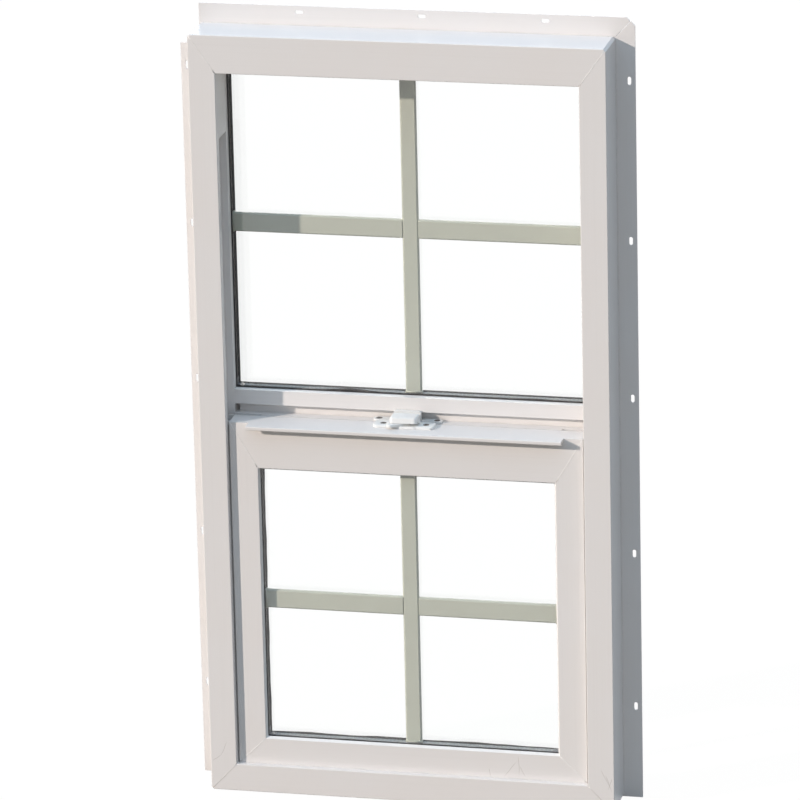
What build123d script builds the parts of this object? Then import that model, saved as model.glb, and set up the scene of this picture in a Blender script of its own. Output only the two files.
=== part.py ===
"""Single-hung vertical sliding window: a mitred plastic frame with nailing fins, a fixed upper light,
a lower sash that slides up in front of it, sealed double glazing with bars inside, and a sash lock.

Millimetres. X runs along the window's width, +Y from the room to the outside, +Z up. The origin is the
middle of the head fin's bearing face, the face that lies against the wall."""

from build123d import *
import os

# Overall frame, seen from the room
frame_width = 508.0
frame_height = 965.0
frame_depth = 95.0
jamb_face = 33.0
head_face = 47.0
sill_face = 35.0
edge_round = 1.0
weld_trim = 3.0

# Nailing fins
fin_setback = 60.0
fin_width = 24.0
fin_thickness = 1.8
fin_corner_clip = 5.0
fin_mitre_gap = 0.8
left_fin_top_cut = 26.0
slot_length = 10.0
slot_width = 4.5
slot_from_root = 16.5
head_slot_count = 3
head_slot_pitch = 150.0
head_slot_centre = 20.0
jamb_slot_count = 5
jamb_slot_pitch = 198.0
first_jamb_slot = 53.5

# Depths through the frame, measured from the room face
track_start = 9.0
track_end = 45.0
track_recess = 9.0
glazing_stop = 55.0
rebate_recess = 13.0
outer_lip_depth = 7.0
outer_lip_rise = 6.0

# Sealed glazing units
glass_thickness = 3.0
air_space = 12.0
gasket_thickness = 1.0
gasket_show = 1.5
edge_clearance = 3.0
spacer_width = 8.0
spacer_inset = 2.0
grille_upright_width = 20.0
grille_crossbar_width = 24.0
grille_thickness = 6.0
grille_chamfer = 1.8
bead_foot = 2.5

# Fixed meeting rail: the ledge's height from the frame's foot, and the other steps from that ledge
rail_ledge = 478.0
rail_drop = 38.0
rail_recess_height = 12.0
rail_floor_rise = 6.0
rail_stop_height = 12.0
rail_front = 39.5
rail_recess = 9.0
rail_drip = 6.0
rail_notch_length = 34.0
rail_notch_depth = 4.0
rail_slit_width = 4.5
rail_slit_depth = 8.0

# Lower sash
sash_front = 8.0
sash_thickness = 30.0
sash_side_gap = 2.0
stile_face = 34.0
bottom_rail_face = 33.0
top_rail_face = 57.0
sash_stop = 5.0
sash_rebate = 11.0
lift_lip_reach = 15.0
lift_lip_thickness = 3.0
lift_lip_hook = 1.6
lift_lip_end = 24.0
sash_leg_reach = 8.0
sash_leg_thickness = 2.5
sash_leg_inset = 2.5
pile_width = 5.0
pile_inset = 8.0
pile_gap = 0.3

# Track fillers, balance shoes and pivots
filler_length = 83.0
filler_clearance = 0.2
shoe_height = 46.0
shoe_lift = 6.0
shoe_clearance = 0.5
pivot_radius = 4.0
pivot_height = 22.0

# Sash lock and keeper
lock_length = 76.0
lock_plate_width = 22.0
lock_plate_rise = 3.0
lock_screw_spacing = 53.0
lock_screw_hole = 4.4
lock_screw_head = 8.0
lock_centre = -4.0
lock_back_margin = 1.5
housing_length = 37.0
housing_width = 24.0
housing_height = 13.5
housing_taper = 8.0
lever_thickness = 3.2
lever_pocket = 9.8
lever_length = 25.0
lever_root_width = 15.0
lever_tip_width = 9.0
lever_angle = 222.0
post_radius = 4.5
cam_radius = 8.5
cam_reach = 17.0
cam_tip_width = 9.0
cam_thickness = 2.8
cam_above_plate = 4.9
slot_clearance = 0.3
keeper_length = 86.0
keeper_width = 11.5
keeper_plate_rise = 2.5
keeper_bridge_length = 34.0
keeper_bridge_height = 14.5
keeper_bridge_wall = 4.0
keeper_seat_gap = 0.3
keeper_screw_spacing = 72.0

# Sill details
sill_outer_start = 45.0
sill_step = 11.0
sill_fall = 6.0
screen_lip_inset = 6.0
screen_lip_width = 3.0
screen_lip_rise = 7.0
weep_length = 26.0
weep_height = 5.0
weep_depth = 4.0
weep_from_foot = 5.0
weep_spread = 150.0

# Setting blocks under the glass
block_length = 60.0
block_spread = 120.0

# Values worked out from the ones above
half_width = frame_width / 2
outer_lip_start = frame_depth - outer_lip_depth
screen_lip_start = frame_depth - screen_lip_inset - screen_lip_width
top = -fin_width / 2
foot = top - frame_height
inner_half = half_width - jamb_face
head_under = top - head_face
sill_top = foot + sill_face
head_scale = head_face / jamb_face
rail_bottom = rail_ledge - rail_drop
rail_nose_under = rail_ledge + rail_recess_height
rail_floor = rail_nose_under + rail_floor_rise
rail_top = rail_floor + rail_stop_height
unit_thickness = 2 * glass_thickness + air_space
upper_glass_front = glazing_stop + gasket_thickness
sash_half = inner_half - sash_side_gap
sash_bottom = sill_top
sash_top = foot + rail_ledge
sash_open_half = sash_half - stile_face
sash_open_bottom = sash_bottom + bottom_rail_face
sash_open_top = sash_top - top_rail_face
sash_back = sash_front + sash_thickness
lower_glass_front = sash_front + sash_stop + gasket_thickness


def depth(d):
    """Row Y of a depth measured from the room face."""
    return d - fin_setback


def prism_y(points, d0, d1):
    """Solid with an outline of (x, z) points between two depths."""
    outline = make_face(Polyline([(x, depth(d0), z) for x, z in points], close=True))
    return extrude(outline, amount=d1 - d0, dir=(0, 1, 0))


def prism_x(points, x0, x1):
    """Solid with an outline of (depth, z) points between two X positions."""
    outline = make_face(Polyline([(x0, depth(d), z) for d, z in points], close=True))
    return extrude(outline, amount=x1 - x0, dir=(1, 0, 0))


def prism_z(points, z0, z1):
    """Solid with an outline of (x, depth) points between two heights."""
    outline = make_face(Polyline([(x, depth(d), z0) for x, d in points], close=True))
    return extrude(outline, amount=z1 - z0, dir=(0, 0, 1))


def block(x0, x1, d0, d1, z0, z1):
    """Plain box between two X positions, two depths and two heights."""
    return prism_y([(x0, z0), (x1, z0), (x1, z1), (x0, z1)], d0, d1)


def ring(half_out, low_out, high_out, half_in, low_in, high_in, d0, d1):
    """Rectangular frame between two depths, given its outer and inner edges."""
    outer = block(-half_out, half_out, d0, d1, low_out, high_out)
    return outer - block(-half_in, half_in, d0, d1, low_in, high_in)


def save(name, *solids):
    """Writes one node, of one or more separate solids."""
    shape = solids[0] if len(solids) == 1 else Compound(children=list(solids))
    export_step(shape, f"parts/{name}.step")


def frame_profile(face):
    """Jamb section as (distance in from the outer edge, depth) points, for a face of that width."""
    s = face / jamb_face
    floor = face - rebate_recess * s
    return [
        (0, 0),
        (face, 0),
        (face, track_start),
        (face - track_recess * s, track_start),
        (face - track_recess * s, track_end),
        (face, track_end),
        (face, glazing_stop),
        (floor, glazing_stop),
        (floor, outer_lip_start),
        (floor + outer_lip_rise * s, outer_lip_start),
        (floor + outer_lip_rise * s, frame_depth),
        (0, frame_depth),
    ]


def head_profile():
    """Head section: the jamb's, with no track."""
    return [p for p in frame_profile(head_face) if not track_start <= p[1] <= track_end]


def sill_profile():
    """Sill section: a flat seat for the sash, then a fall to the outside with a screen lip."""
    seat = sill_face - sill_step
    low = seat - sill_fall
    lip_end = screen_lip_start + screen_lip_width
    return [
        (0, 0),
        (sill_face, 0),
        (sill_face, sill_outer_start),
        (seat, sill_outer_start),
        (low, screen_lip_start),
        (low + screen_lip_rise, screen_lip_start),
        (low + screen_lip_rise, lip_end),
        (low, lip_end),
        (low - 1, frame_depth),
        (0, frame_depth),
    ]


def weld_trims():
    """Wedges off the frame's four outer corners, in front of the fins, where the weld's flash is cut away."""
    wedges = []
    for sx in (-1, 1):
        for z, inward in ((top, -1), (foot, 1)):
            x = sx * half_width
            points = [(x, z), (x - sx * weld_trim, z), (x, z + inward * weld_trim)]
            wedges.append(prism_y(points, 0, fin_setback))
    return wedges


def member_cut(side):
    """Mitred region of the frame that one member fills, less the trimmed corners."""
    outer = {
        "tl": (-half_width, top),
        "tr": (half_width, top),
        "bl": (-half_width, foot),
        "br": (half_width, foot),
    }
    inner = {
        "tl": (-inner_half, head_under),
        "tr": (inner_half, head_under),
        "bl": (-inner_half, sill_top),
        "br": (inner_half, sill_top),
    }
    a, b = {"head": ("tl", "tr"), "sill": ("bl", "br"), "left": ("tl", "bl"), "right": ("tr", "br")}[side]
    region = prism_y([outer[a], outer[b], inner[b], inner[a]], 0, frame_depth)
    for wedge in weld_trims():
        region -= wedge
    return region


def slots(positions, vertical):
    """Nail slots through a fin, centred at (x, z) positions."""
    cuts = []
    for x, z in positions:
        shape = SlotOverall(slot_length, slot_width)
        turned = Plane((x, 0, z), x_dir=(0, 0, 1) if vertical else (1, 0, 0), z_dir=(0, 1, 0)) * shape
        cuts.append(extrude(turned, amount=3 * fin_thickness, both=True))
    return cuts


def fin(points, slot_positions, vertical):
    """Nailing fin with its slots, from its outline of (x, z) points."""
    plate = prism_y(points, fin_setback, fin_setback + fin_thickness)
    for cut in slots(slot_positions, vertical):
        plate -= cut
    return plate


def head_fin():
    """Head fin: square at its left end, mitred with a clipped tip at its right end."""
    tip = fin_width - fin_corner_clip
    gap = fin_mitre_gap / 2
    points = [
        (-half_width, top),
        (half_width - gap, top),
        (half_width + tip - gap, top + tip),
        (half_width + tip - fin_corner_clip, top + fin_width),
        (-half_width, top + fin_width),
    ]
    first = head_slot_centre - head_slot_pitch * (head_slot_count - 1) / 2
    places = [(first + i * head_slot_pitch, top + slot_from_root) for i in range(head_slot_count)]
    return fin(points, places, vertical=False)


def jamb_fin(side):
    """Jamb fin on side -1 or +1. The right one is mitred to the head fin; the left one stops short."""
    root = side * half_width
    edge = side * (half_width + fin_width)
    if side > 0:
        tip = fin_width - fin_corner_clip
        gap = fin_mitre_gap / 2
        upper = [(edge, top + tip - fin_corner_clip), (root + tip + gap, top + tip), (root + gap, top), (root, top)]
    else:
        upper = [(edge, top - left_fin_top_cut), (root, top - left_fin_top_cut)]
    points = [(root, foot), (edge, foot)] + upper
    x = side * (half_width + slot_from_root)
    places = [(x, top - first_jamb_slot - i * jamb_slot_pitch) for i in range(jamb_slot_count)]
    return fin(points, places, vertical=True)


def rounded_front(solid):
    """Softens the edges round the room face."""
    front = solid.faces().sort_by(Axis.Y)[0]
    return fillet(front.edges(), edge_round)


def frame_head():
    bar = prism_x([(d, top - u) for u, d in head_profile()], -half_width, half_width)
    return rounded_front(bar & member_cut("head")) + head_fin()


def frame_sill():
    bar = prism_x([(d, foot + u) for u, d in sill_profile()], -half_width, half_width)
    bar = rounded_front(bar & member_cut("sill"))
    for x in (-weep_spread, weep_spread):
        bar -= block(
            x - weep_length / 2,
            x + weep_length / 2,
            frame_depth - weep_depth,
            frame_depth,
            foot + weep_from_foot,
            foot + weep_from_foot + weep_height,
        )
    return bar


def frame_jamb(side):
    points = [(side * (half_width - u), d) for u, d in frame_profile(jamb_face)]
    bar = prism_z(points, foot, top)
    return rounded_front(bar & member_cut("left" if side < 0 else "right")) + jamb_fin(side)


def track_filler(side):
    """Block that closes the sash track below the head."""
    floor = jamb_face - track_recess
    x0 = side * (half_width - floor)
    x1 = side * inner_half
    return block(
        min(x0, x1),
        max(x0, x1),
        track_start + filler_clearance,
        track_end - filler_clearance,
        head_under - filler_length,
        head_under,
    )


def fixed_meeting_rail():
    """Rail under the fixed light: a ledge level with the sash, a recess, and a nose that stops the glass.
    Its ends are notched round the jambs' ribs."""
    recess_back = track_end + rail_recess
    points = [
        (rail_front, foot + rail_bottom),
        (rail_front, foot + rail_ledge),
        (recess_back, foot + rail_ledge),
        (recess_back, foot + rail_nose_under),
        (track_end, foot + rail_nose_under),
        (track_end, foot + rail_top),
        (glazing_stop, foot + rail_top),
        (glazing_stop, foot + rail_floor),
        (outer_lip_start, foot + rail_floor),
        (outer_lip_start, foot + rail_bottom + rail_drip),
        (outer_lip_start - rail_drip, foot + rail_bottom),
    ]
    rebate_half = inner_half + rebate_recess
    bar = prism_x(points, -rebate_half, rebate_half)
    low, ledge, under = foot + rail_bottom, foot + rail_ledge, foot + rail_nose_under
    for side in (-1, 1):
        x0, x1 = sorted((side * inner_half, side * rebate_half))
        bar -= block(x0, x1, rail_front, glazing_stop, low, foot + rail_top)
        x0, x1 = sorted((side * (inner_half - rail_notch_length), side * inner_half))
        bar -= block(x0, x1, rail_front, rail_front + rail_notch_depth, low, ledge)
        x0, x1 = sorted((side * (inner_half - rail_slit_width), side * inner_half))
        bar -= block(x0, x1, recess_back, recess_back + rail_slit_depth, ledge, under)
    return bar


def light(half_open, low_open, high_open, bite_x, bite_low, bite_high, front):
    """Edges of a sealed unit: the sight opening grown by its bites, and the depth of its room face."""
    return {
        "half": half_open + bite_x,
        "low": low_open - bite_low,
        "high": high_open + bite_high,
        "open_half": half_open,
        "open_low": low_open,
        "open_high": high_open,
        "front": front,
    }


upper = light(
    inner_half,
    foot + rail_top,
    head_under,
    rebate_recess - edge_clearance,
    rail_top - rail_floor - edge_clearance,
    rebate_recess * head_scale - edge_clearance,
    upper_glass_front,
)
stile_bite = sash_rebate - edge_clearance
bottom_bite = sash_rebate * bottom_rail_face / stile_face - edge_clearance
top_bite = sash_rebate * top_rail_face / stile_face - edge_clearance
lower = light(
    sash_open_half,
    sash_open_bottom,
    sash_open_top,
    stile_bite,
    bottom_bite,
    top_bite,
    lower_glass_front,
)


def pane(unit, outer):
    """Room-side or outer pane of a sealed unit."""
    d = unit["front"] + (glass_thickness + air_space if outer else 0)
    return block(-unit["half"], unit["half"], d, d + glass_thickness, unit["low"], unit["high"])


def spacer(unit):
    """Hollow-metal spacer frame between the panes."""
    d = unit["front"] + glass_thickness
    a = spacer_inset
    b = spacer_inset + spacer_width
    return ring(
        unit["half"] - a,
        unit["low"] + a,
        unit["high"] - a,
        unit["half"] - b,
        unit["low"] + b,
        unit["high"] - b,
        d,
        d + air_space,
    )


def gaskets(unit):
    """Glazing gaskets on both faces of a sealed unit, showing past the stop."""
    rings = []
    for d in (unit["front"] - gasket_thickness, unit["front"] + unit_thickness):
        rings.append(
            ring(
                unit["half"],
                unit["low"],
                unit["high"],
                unit["open_half"] - gasket_show,
                unit["open_low"] + gasket_show,
                unit["open_high"] - gasket_show,
                d,
                d + gasket_thickness,
            )
        )
    return rings


def grille_bar(length, width):
    """Flat bar with chamfered long edges, lying along X at the origin."""
    bar = Box(length, grille_thickness, width)
    return chamfer(bar.edges().filter_by(Axis.X), grille_chamfer)


def grille(unit):
    """Upright bar and two crossbar halves, held between the spacer's sides."""
    inset = spacer_inset + spacer_width
    half = unit["half"] - inset
    low = unit["low"] + inset
    high = unit["high"] - inset
    middle = (low + high) / 2
    y = depth(unit["front"] + glass_thickness + air_space / 2)
    upright = Pos(0, y, middle) * Rot(0, 90, 0) * grille_bar(high - low, grille_upright_width)
    reach = half - grille_upright_width / 2
    halves = []
    for side in (-1, 1):
        x = side * (grille_upright_width / 2 + reach / 2)
        halves.append(Pos(x, y, middle) * grille_bar(reach, grille_crossbar_width))
    return upright, halves


def bead_section(floor, tip, d0, d1):
    """Snap bead section: full height against the glass, falling away to the outside."""
    return [(floor, d0), (tip, d0), (tip, d0 + bead_foot), (floor + (tip - floor) * 0.45, d1), (floor, d1)]


def beads(unit, floors, d1):
    """Four mitred snap beads that hold a unit from outside: top, bottom, left and right.
    floors gives how far each rebate floor lies outside the sight opening."""
    d0 = unit["front"] + unit_thickness + gasket_thickness
    half, low, high = unit["open_half"], unit["open_low"], unit["open_high"]
    fx, fl, fh = floors
    out = {"tl": (-half - fx, high + fh), "tr": (half + fx, high + fh)}
    out.update({"bl": (-half - fx, low - fl), "br": (half + fx, low - fl)})
    inn = {"tl": (-half, high), "tr": (half, high), "bl": (-half, low), "br": (half, low)}
    made = {}
    for name, a, b in (("top", "tl", "tr"), ("bottom", "bl", "br"), ("left", "tl", "bl"), ("right", "tr", "br")):
        region = prism_y([out[a], out[b], inn[b], inn[a]], d0, d1)
        if name == "top":
            bar = prism_x([(d, high + fh - u) for u, d in bead_section(0, fh, d0, d1)], -half - fx, half + fx)
        elif name == "bottom":
            bar = prism_x([(d, low - fl + u) for u, d in bead_section(0, fl, d0, d1)], -half - fx, half + fx)
        else:
            s = -1 if name == "left" else 1
            points = [(s * (half + fx - u), d) for u, d in bead_section(0, fx, d0, d1)]
            bar = prism_z(points, low - fl, high + fh)
        made[name] = bar & region
    return made


def setting_blocks(unit):
    """Two small blocks that carry the unit on its rebate floor."""
    return [
        block(
            x - block_length / 2,
            x + block_length / 2,
            unit["front"],
            unit["front"] + unit_thickness,
            unit["low"] - edge_clearance,
            unit["low"],
        )
        for x in (-block_spread, block_spread)
    ]


def sash_profile(face):
    """Sash section as (distance in from the sash's edge, depth from its room face) points."""
    floor = face - sash_rebate * face / stile_face
    return [(0, 0), (face, 0), (face, sash_stop), (floor, sash_stop), (floor, sash_thickness), (0, sash_thickness)]


def sash_cut(side):
    """Mitred region of the sash that one member fills."""
    outer = {
        "tl": (-sash_half, sash_top),
        "tr": (sash_half, sash_top),
        "bl": (-sash_half, sash_bottom),
        "br": (sash_half, sash_bottom),
    }
    inner = {
        "tl": (-sash_open_half, sash_open_top),
        "tr": (sash_open_half, sash_open_top),
        "bl": (-sash_open_half, sash_open_bottom),
        "br": (sash_open_half, sash_open_bottom),
    }
    a, b = {"top": ("tl", "tr"), "bottom": ("bl", "br"), "left": ("tl", "bl"), "right": ("tr", "br")}[side]
    return prism_y([outer[a], outer[b], inner[b], inner[a]], sash_front, sash_back)


def lift_lip():
    """Thin ledge along the top rail's front, by which the sash is lifted."""
    front = sash_front - lift_lip_reach
    low = sash_top - lift_lip_thickness
    points = [
        (sash_front, sash_top),
        (front, sash_top),
        (front, low - lift_lip_hook),
        (front + lift_lip_thickness, low - lift_lip_hook),
        (front + lift_lip_thickness, low),
        (sash_front, low),
    ]
    reach = sash_half - lift_lip_end
    lip = prism_x(points, -reach, reach)
    nose = lip.edges().filter_by(Axis.X).group_by(Axis.Y)[0]
    return fillet(nose, edge_round)


def sash_top_rail():
    points = [(sash_front + t, sash_top - v) for v, t in sash_profile(top_rail_face)]
    bar = prism_x(points, -sash_half, sash_half) & sash_cut("top")
    return bar + lift_lip()


def sash_bottom_rail():
    points = [(sash_front + t, sash_bottom + v) for v, t in sash_profile(bottom_rail_face)]
    return prism_x(points, -sash_half, sash_half) & sash_cut("bottom")


def sash_legs(side):
    """Two thin legs on a stile's edge that run in the jamb's track."""
    x0, x1 = sorted((side * sash_half, side * (sash_half + sash_leg_reach)))
    first = track_start + sash_leg_inset
    last = sash_back - sash_leg_thickness
    return [block(x0, x1, d, d + sash_leg_thickness, sash_bottom, sash_top) for d in (first, last)]


def sash_stile(side):
    points = [(side * (sash_half - v), sash_front + t) for v, t in sash_profile(stile_face)]
    bar = prism_z(points, sash_bottom, sash_top) & sash_cut("left" if side < 0 else "right")
    for leg in sash_legs(side):
        bar += leg
    return bar


def side_pile(side):
    """Pile weatherstrip between a stile's front leg and the track's front wall."""
    x0, x1 = sorted((side * (inner_half + 1), side * (inner_half + 1 + pile_width)))
    back = track_start + sash_leg_inset
    return block(x0, x1, track_start + pile_gap, back, sash_bottom, sash_top)


def meeting_pile():
    """Pile weatherstrip on the back of the top rail, against the fixed meeting rail."""
    reach = inner_half - rail_notch_length
    high = foot + rail_ledge - pile_inset
    return block(-reach, reach, sash_back, rail_front - pile_gap, high - pile_width, high)


def balance_shoe(side):
    """Shoe between the stile's legs, with the pivot that carries the sash's foot."""
    floor = half_width - jamb_face + track_recess
    x0, x1 = sorted((side * (inner_half + shoe_clearance), side * floor))
    low = sill_top + shoe_lift
    front = track_start + sash_leg_inset + sash_leg_thickness + shoe_clearance
    back = sash_back - sash_leg_thickness - shoe_clearance
    shoe = block(x0, x1, front, back, low, low + shoe_height)
    shoe = chamfer(shoe.edges().filter_by(Axis.X), 2)
    middle = depth((front + back) / 2)
    length = inner_half + shoe_clearance - sash_half
    pin = Plane((side * sash_half, middle, low + pivot_height), z_dir=(side, 0, 0)) * Circle(pivot_radius)
    return shoe + extrude(pin, amount=length)


def lock_spot():
    """Row position of the lock's pivot on the top rail."""
    return lock_centre, depth(sash_back - lock_back_margin - lock_plate_width / 2), sash_top


def screw_hole(x, y, surface, thickness):
    """Countersunk screw hole down through a plate."""
    shank = Pos(x, y, surface - thickness / 2) * Cylinder(lock_screw_hole / 2, thickness)
    sink = (lock_screw_head - lock_screw_hole) / 2
    return shank + Pos(x, y, surface - sink / 2) * Cone(lock_screw_hole / 2, lock_screw_head / 2, sink)


def lever_slot(x, y, z, reach, height, side):
    """Round pocket with a mouth to the room (side -1) or to the keeper (side +1)."""
    pocket = extrude(Pos(x, y, z) * Circle(reach), amount=height)
    mouth_length = housing_length + 2 if side < 0 else 2 * reach
    mouth = Box(mouth_length, housing_width, height)
    return pocket + Pos(x, y + side * housing_width / 2, z + height / 2) * mouth


def lock_base():
    """Cast lock body: a plate with two screwed ears and a tapered housing, slotted for lever and cam."""
    x, y, z = lock_spot()
    plate = extrude(Pos(x, y, z) * RectangleRounded(lock_length, lock_plate_width, 6), amount=lock_plate_rise)
    plate = chamfer(plate.faces().sort_by(Axis.Z)[-1].edges(), 1)
    outline = RectangleRounded(housing_length, housing_width, 6)
    housing = extrude(Pos(x, y, z) * outline, amount=housing_height, taper=housing_taper)
    housing = fillet(housing.faces().sort_by(Axis.Z)[-1].edges(), 2.5)
    arm_z = z + lock_plate_rise
    cam_z = arm_z + cam_above_plate - slot_clearance
    housing -= lever_slot(x, y, arm_z, lever_pocket, lever_thickness + slot_clearance, -1)
    housing -= lever_slot(x, y, cam_z, cam_radius + slot_clearance, cam_thickness + 2 * slot_clearance, 1)
    housing -= extrude(Pos(x, y, arm_z) * Circle(post_radius + slot_clearance), amount=cam_above_plate)
    body = plate + housing
    for side in (-1, 1):
        hole_x = x + side * lock_screw_spacing / 2
        body -= screw_hole(hole_x, y, arm_z, lock_plate_rise)
    return body


def lock_lever():
    """Lever and cam on one post: the arm comes out at the front, the cam lies in the keeper's mouth."""
    x, y, z = lock_spot()
    arm_z = z + lock_plate_rise
    root = Circle(lever_root_width / 2)
    tip = Pos(lever_length - lever_tip_width / 2, 0) * Circle(lever_tip_width / 2)
    arm = extrude(Pos(x, y, arm_z) * Rot(0, 0, lever_angle) * make_hull((root + tip).edges()), amount=lever_thickness)
    arm = fillet(arm.faces().sort_by(Axis.Z)[-1].edges(), 1.2)
    post = extrude(Pos(x, y, arm_z) * Circle(post_radius), amount=cam_above_plate)
    hook = Pos(0, cam_reach - cam_tip_width / 2) * Circle(cam_tip_width / 2)
    cam = extrude(
        Pos(x, y, arm_z + cam_above_plate) * make_hull((Circle(cam_radius) + hook).edges()),
        amount=cam_thickness,
    )
    return arm + post + cam


def lock_keeper():
    """Keeper on the rail's ledge: a screwed plate and a bridge that the cam reaches through."""
    x = lock_centre
    front = rail_front + keeper_seat_gap
    middle = depth(front + keeper_width / 2)
    low = foot + rail_ledge
    plate_top = low + keeper_plate_rise
    outline = RectangleRounded(keeper_length, keeper_width, keeper_width / 2 - 0.5)
    plate = extrude(Pos(x, middle, low) * outline, amount=keeper_plate_rise)
    half = keeper_bridge_length / 2
    bridge_back = track_end - keeper_seat_gap
    bridge = block(x - half, x + half, front, bridge_back, plate_top, low + keeper_bridge_height)
    bridge = fillet(bridge.edges().filter_by(Axis.Y).group_by(Axis.Z)[-1], 3)
    body = plate + bridge
    mouth = half - keeper_bridge_wall
    cam_low = sash_top + lock_plate_rise + cam_above_plate - slot_clearance
    cam_high = cam_low + cam_thickness + 2 * slot_clearance
    body -= block(x - mouth, x + mouth, front, bridge_back, cam_low, cam_high)
    for side in (-1, 1):
        hole_x = x + side * keeper_screw_spacing / 2
        body -= screw_hole(hole_x, middle, plate_top, keeper_plate_rise)
    return body


def build():
    os.makedirs("parts", exist_ok=True)
    save("frame_head", frame_head())
    save("frame_sill", frame_sill())
    save("fixed_meeting_rail", fixed_meeting_rail())
    for name, side in (("left", -1), ("right", 1)):
        save(f"frame_jamb_{name}", frame_jamb(side))
        save(f"track_filler_{name}", track_filler(side))
        save(f"sash_stile_{name}", sash_stile(side))
        save(f"pile_weatherstrip_{name}", side_pile(side))
        save(f"balance_shoe_{name}", balance_shoe(side))
    save("sash_top_rail", sash_top_rail())
    save("sash_bottom_rail", sash_bottom_rail())
    save("meeting_rail_weatherstrip", meeting_pile())
    upper_floors = (rebate_recess, rail_top - rail_floor, rebate_recess * head_scale)
    lower_floors = (sash_rebate, bottom_bite + edge_clearance, top_bite + edge_clearance)
    for name, unit, floors, back in (
        ("upper", upper, upper_floors, outer_lip_start),
        ("lower", lower, lower_floors, sash_back),
    ):
        save(f"{name}_glass_inner", pane(unit, outer=False))
        save(f"{name}_glass_outer", pane(unit, outer=True))
        save(f"{name}_spacer", spacer(unit))
        save(f"{name}_glazing_gaskets", *gaskets(unit))
        upright, halves = grille(unit)
        save(f"{name}_grille_upright", upright)
        save(f"{name}_grille_crossbar", *halves)
        for side, bead in beads(unit, floors, back).items():
            save(f"{name}_bead_{side}", bead)
        save(f"{name}_setting_blocks", *setting_blocks(unit))
    save("lock_base", lock_base())
    save("lock_lever", lock_lever())
    save("lock_keeper", lock_keeper())


build()
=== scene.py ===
"""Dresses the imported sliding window: finishes for its plastic, glass, bars and metal, and the small
pieces that the solids leave out. Everything is in metres, in the window's own frame: X along the
width, +Y to the outside, +Z up, with the origin on the head's nailing fin."""

import math
import random

import bmesh
import bpy
from bpy.props import FloatProperty, FloatVectorProperty, PointerProperty
from mathutils import Matrix, Quaternion, Vector


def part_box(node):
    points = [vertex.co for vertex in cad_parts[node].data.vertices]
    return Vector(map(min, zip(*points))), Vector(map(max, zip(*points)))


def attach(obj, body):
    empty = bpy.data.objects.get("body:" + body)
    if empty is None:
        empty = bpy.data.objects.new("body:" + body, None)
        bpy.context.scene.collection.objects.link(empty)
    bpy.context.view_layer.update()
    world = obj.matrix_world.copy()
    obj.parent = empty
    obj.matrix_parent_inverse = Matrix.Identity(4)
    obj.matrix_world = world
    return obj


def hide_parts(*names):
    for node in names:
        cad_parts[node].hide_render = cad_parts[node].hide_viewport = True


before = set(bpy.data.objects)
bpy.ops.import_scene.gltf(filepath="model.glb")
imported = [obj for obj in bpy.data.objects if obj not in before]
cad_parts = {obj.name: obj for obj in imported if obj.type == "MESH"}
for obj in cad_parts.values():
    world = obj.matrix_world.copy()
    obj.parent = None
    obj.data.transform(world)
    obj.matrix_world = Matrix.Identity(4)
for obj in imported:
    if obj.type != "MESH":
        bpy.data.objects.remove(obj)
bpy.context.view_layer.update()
MM = 0.001

bl_info = {
    "name": "Sliding window",
    "version": (1, 0, 0),
    "blender": (4, 5, 0),
    "location": "3D View > Sidebar > Window",
    "description": "Finishes and small pieces of a vertical sliding window",
    "category": "Object",
}

LEVEL_PLASTIC_NODES = (
    "frame_head", "frame_sill", "fixed_meeting_rail", "sash_top_rail", "sash_bottom_rail",
    "upper_bead_top", "upper_bead_bottom", "lower_bead_top", "lower_bead_bottom",
)
UPRIGHT_PLASTIC_NODES = (
    "frame_jamb_left", "frame_jamb_right", "track_filler_left", "track_filler_right",
    "sash_stile_left", "sash_stile_right", "upper_bead_left", "upper_bead_right",
    "lower_bead_left", "lower_bead_right",
)
GLASS_NODES = ("upper_glass_inner", "upper_glass_outer", "lower_glass_inner", "lower_glass_outer")
BAR_NODES = (
    "upper_grille_upright", "upper_grille_crossbar",
    "lower_grille_upright", "lower_grille_crossbar",
)
RUBBER_NODES = (
    "upper_glazing_gaskets", "lower_glazing_gaskets",
    "upper_setting_blocks", "lower_setting_blocks",
)
SHOE_NODES = ("balance_shoe_left", "balance_shoe_right")
# Pile strips: node, side its fibres stand towards (-1 the room, 1 outside) and seed of its tufts
PILE_STRIPS = (
    ("pile_weatherstrip_left", -1, 11),
    ("pile_weatherstrip_right", -1, 12),
    ("meeting_rail_weatherstrip", 1, 13),
)
LOCK_NODES = ("lock_base", "lock_lever", "lock_keeper")

# Hairline scratches on the room face: start and end (x, z) in millimetres from the foot's middle
SCRATCHES = (
    ((-252, 38), (-239, 47)),
    ((-241, 45), (-232, 64)),
    ((96, 47), (98, 36)),
    ((133, 66), (134, 38)),
    ((131, 58), (114, 36)),
    ((134, 52), (142, 38)),
    ((237, 58), (249, 33)),
    ((251, 47), (246, 30)),
    ((243, 51), (251, 27)),
)
SCRATCH_WIDTH = 0.0004
# Depths between which they fade out behind the room face
SCRATCH_FADE_FROM, SCRATCH_FADE_TO = -0.046, -0.045

# The plastic's fine lines run along each bar: noise scale in x, y and z
LEVEL_GRAIN = (3, 400, 400)
UPRIGHT_GRAIN = (400, 400, 3)

# Weld seams stop short of the inner corners, and start past the trimmed outer corners of the frame
SEAM_INSET = 0.0012
TRIMMED_CORNER = 0.0026
# Heights between which the dirt on them thickens towards the foot
SEAM_DIRT_FROM, SEAM_DIRT_TO = -0.930, -0.952

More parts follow.
